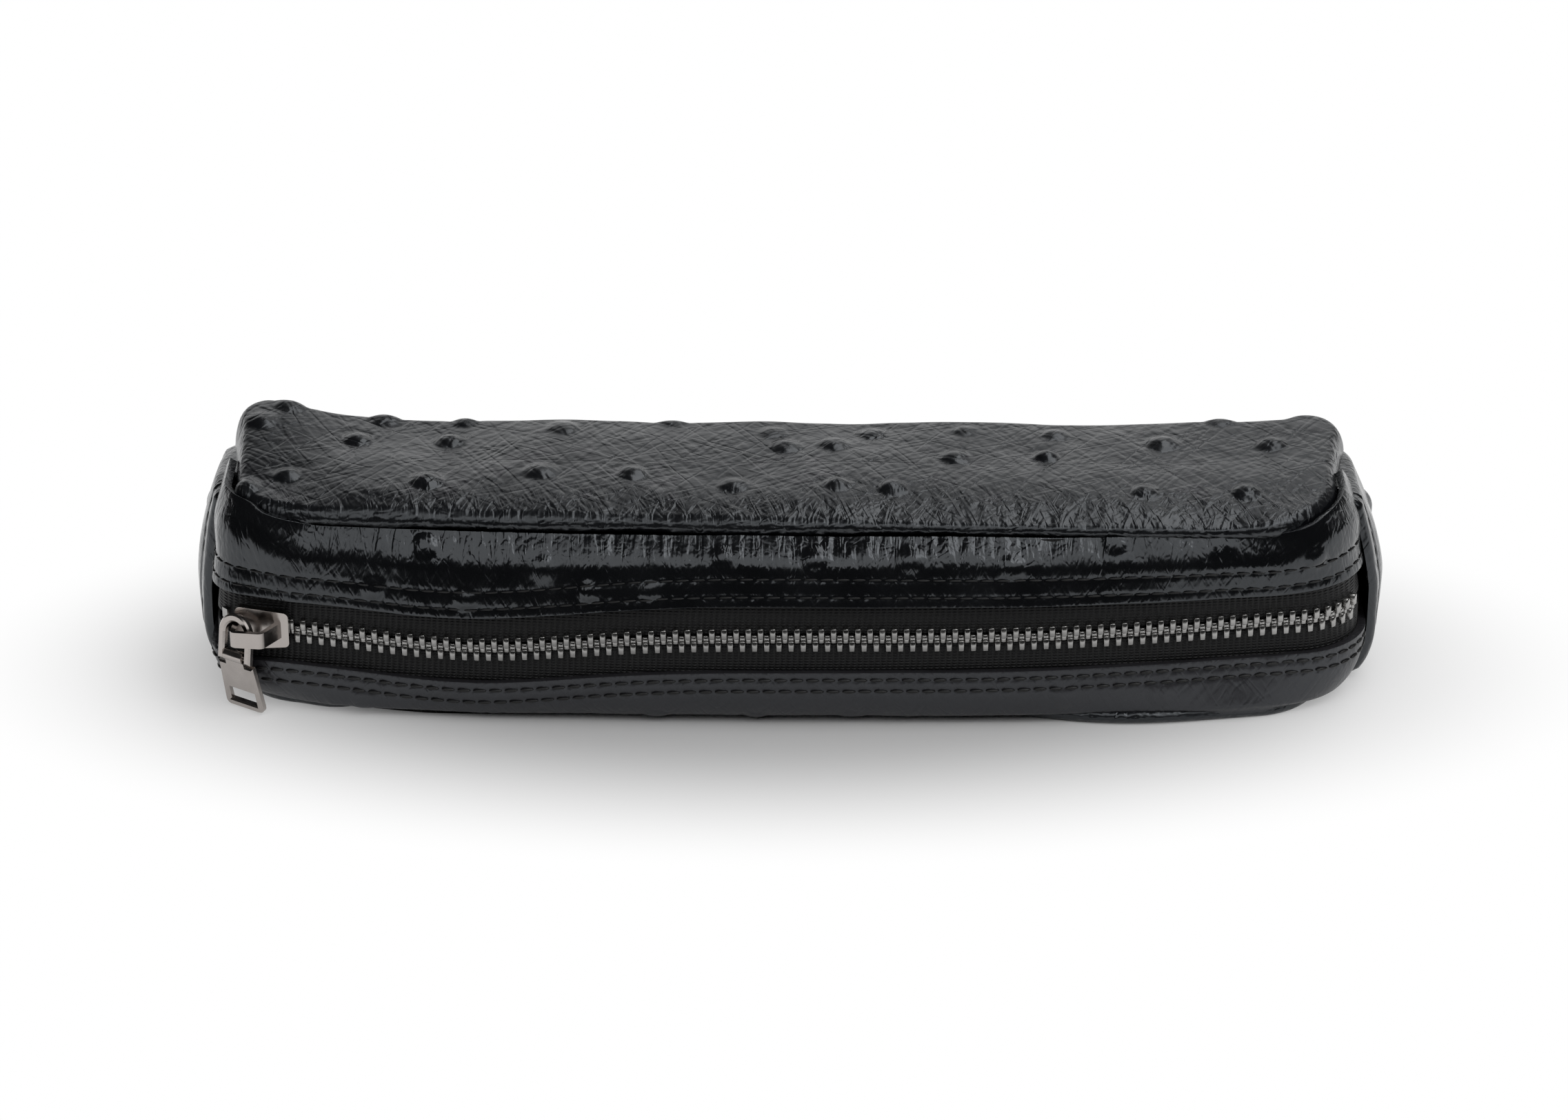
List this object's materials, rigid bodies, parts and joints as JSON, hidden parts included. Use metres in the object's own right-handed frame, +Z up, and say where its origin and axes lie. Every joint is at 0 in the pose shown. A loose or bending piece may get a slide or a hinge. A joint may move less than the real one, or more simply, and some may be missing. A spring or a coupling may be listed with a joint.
{
  "type": "fountain pen case",
  "caption": "Soft rectangular leather pen case lying on a side panel, with a zip along its front edge that opens to an eye-shaped mouth.",
  "frame": {"origin": "on the resting surface, under the middle of the case", "axes": "+X along the case with the closed zip slider at -X, -Y towards the zip, +Z up"},
  "size_m": [0.2012, 0.051, 0.0391],
  "materials": {
    "black_leather": "semi-gloss black leather embossed with an ostrich grain",
    "zip_tape": "black woven zip tape",
    "lining": "black twill lining",
    "zip_metal": "black nickel zip teeth",
    "pull_metal": "polished and satin gunmetal plating"
  },
  "bodies": {
    "case": {"upper_side_panel": "black_leather", "lower_side_panel": "black_leather", "base_gusset": "black_leather", "upper_side_lining": "lining", "lower_side_lining": "lining", "gusset_lining": "lining", "upper_top_stop": "zip_metal", "lower_top_stop": "zip_metal", "bottom_stop": "zip_metal"},
    "upper_lip": {"upper_zip_band": "black_leather", "upper_zip_tape": "zip_tape", "upper_zip_teeth": "zip_metal", "upper_zip_facing": "lining"},
    "lower_lip": {"lower_zip_band": "black_leather", "lower_zip_tape": "zip_tape", "lower_zip_teeth": "zip_metal", "lower_zip_facing": "lining"},
    "slider": {"slider_body": "pull_metal"},
    "link": {"pull_link": "pull_metal"},
    "tab": {"pull_tab": "pull_metal"}
  },
  "joints": [
    {"name": "zip_slide", "type": "hinge", "parent": "case", "child": "slider", "pos_m": [0.005, 0.57625, 0.01655], "axis": [-0.0105, 0, 0.9999], "range_deg": [0, 16.2]},
    {"name": "upper_lip_open", "type": "hinge", "parent": "case", "child": "upper_lip", "pos_m": [0, -0.0195, 0.035], "axis": [-1, 0, 0], "range_deg": [0, 55.08], "deforming": ["upper_zip_band", "upper_zip_tape", "upper_zip_teeth", "upper_zip_facing"]},
    {"name": "lower_lip_open", "type": "hinge", "parent": "case", "child": "lower_lip", "pos_m": [0, -0.0215, 0.0021], "axis": [1, 0, 0], "range_deg": [0, 40.5], "deforming": ["lower_zip_band", "lower_zip_tape", "lower_zip_teeth", "lower_zip_facing"]},
    {"name": "link_swing", "type": "hinge", "parent": "slider", "child": "link", "pos_m": [-0.09322, -0.01942, 0.01552], "axis": [-0.5831, -0.8014, 0.1331], "range_deg": [-15, 13]},
    {"name": "tab_swing", "type": "hinge", "parent": "link", "child": "tab", "pos_m": [-0.09354, -0.01991, 0.01116], "axis": [0.8092, -0.5874, 0.0085], "range_deg": [-122, 2]}
  ],
  "couplings": [
    {"joint": "upper_lip_open", "follows": "zip_slide", "ratio": 3.4},
    {"joint": "lower_lip_open", "follows": "zip_slide", "ratio": 2.5}
  ]
}
